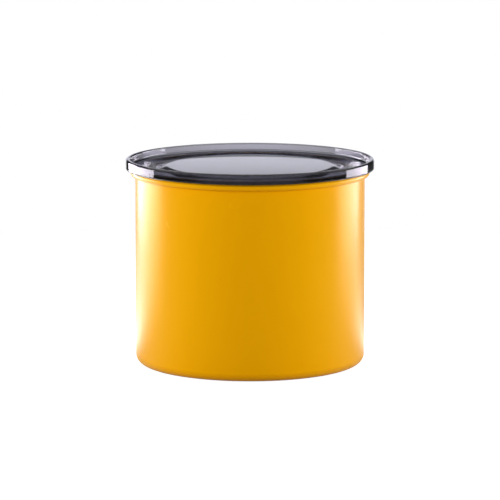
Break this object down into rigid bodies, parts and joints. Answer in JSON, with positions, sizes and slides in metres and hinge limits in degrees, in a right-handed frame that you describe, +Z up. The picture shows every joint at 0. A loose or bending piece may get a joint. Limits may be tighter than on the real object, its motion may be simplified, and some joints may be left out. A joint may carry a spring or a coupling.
{
  "type": "coffee canister with valve",
  "caption": "Round coated steel coffee canister with a smoke plastic outer lid and a push-down inner lid whose folding handle opens a sprung air valve.",
  "frame": {"origin": "middle of the foot, on the surface that the canister stands on", "axes": "+Z up along the can, +X along the handle's hinge, +Y the way the handle folds"},
  "size_m": [0.1264, 0.1264, 0.1046],
  "materials": {
    "yellow_coat": "satin powder coat outside, bare brushed steel inside",
    "smoke_plastic": "polished, smoke tinted, see-through",
    "black_plastic": "fine moulded grain",
    "grey_plastic": "satin moulded",
    "silicone": "soft satin",
    "bright_steel": "drawn wire and turned rod"
  },
  "bodies": {
    "canister": {"canister_shell": "yellow_coat"},
    "outer_lid": {"outer_lid": "smoke_plastic", "outer_lid_seal": "silicone"},
    "inner_lid": {"inner_lid_plate": "black_plastic", "inner_lid_gasket": "silicone", "hinge_pin": "bright_steel", "valve_guard": "black_plastic", "valve_spring": "bright_steel"},
    "handle": {"handle": "grey_plastic"},
    "valve": {"valve_stem": "grey_plastic", "poppet_cup": "grey_plastic", "poppet_seal": "silicone", "stem_clip": "bright_steel"}
  },
  "joints": [
    {"name": "outer_lid_lift", "type": "slide", "parent": "canister", "child": "outer_lid", "axis": [0, 0, 1], "range_m": [0, 0.14]},
    {"name": "inner_lid_slide", "type": "slide", "parent": "canister", "child": "inner_lid", "axis": [0, 0, 1], "range_m": [-0.04, 0]},
    {"name": "handle_fold", "type": "hinge", "parent": "inner_lid", "child": "handle", "pos_m": [0, 0, 0.0687], "axis": [1, 0, 0], "range_deg": [0, 90]},
    {"name": "valve_stroke", "type": "slide", "parent": "inner_lid", "child": "valve", "axis": [0, 0, 1], "range_m": [-0.0024, 0], "stiffness_N_per_m": 300, "springref_m": 0.003, "deforming": ["valve_spring"]}
  ],
  "couplings": [
    {"joint": "handle_fold", "follows": "valve_stroke", "rad_per_m": -654.49}
  ]
}
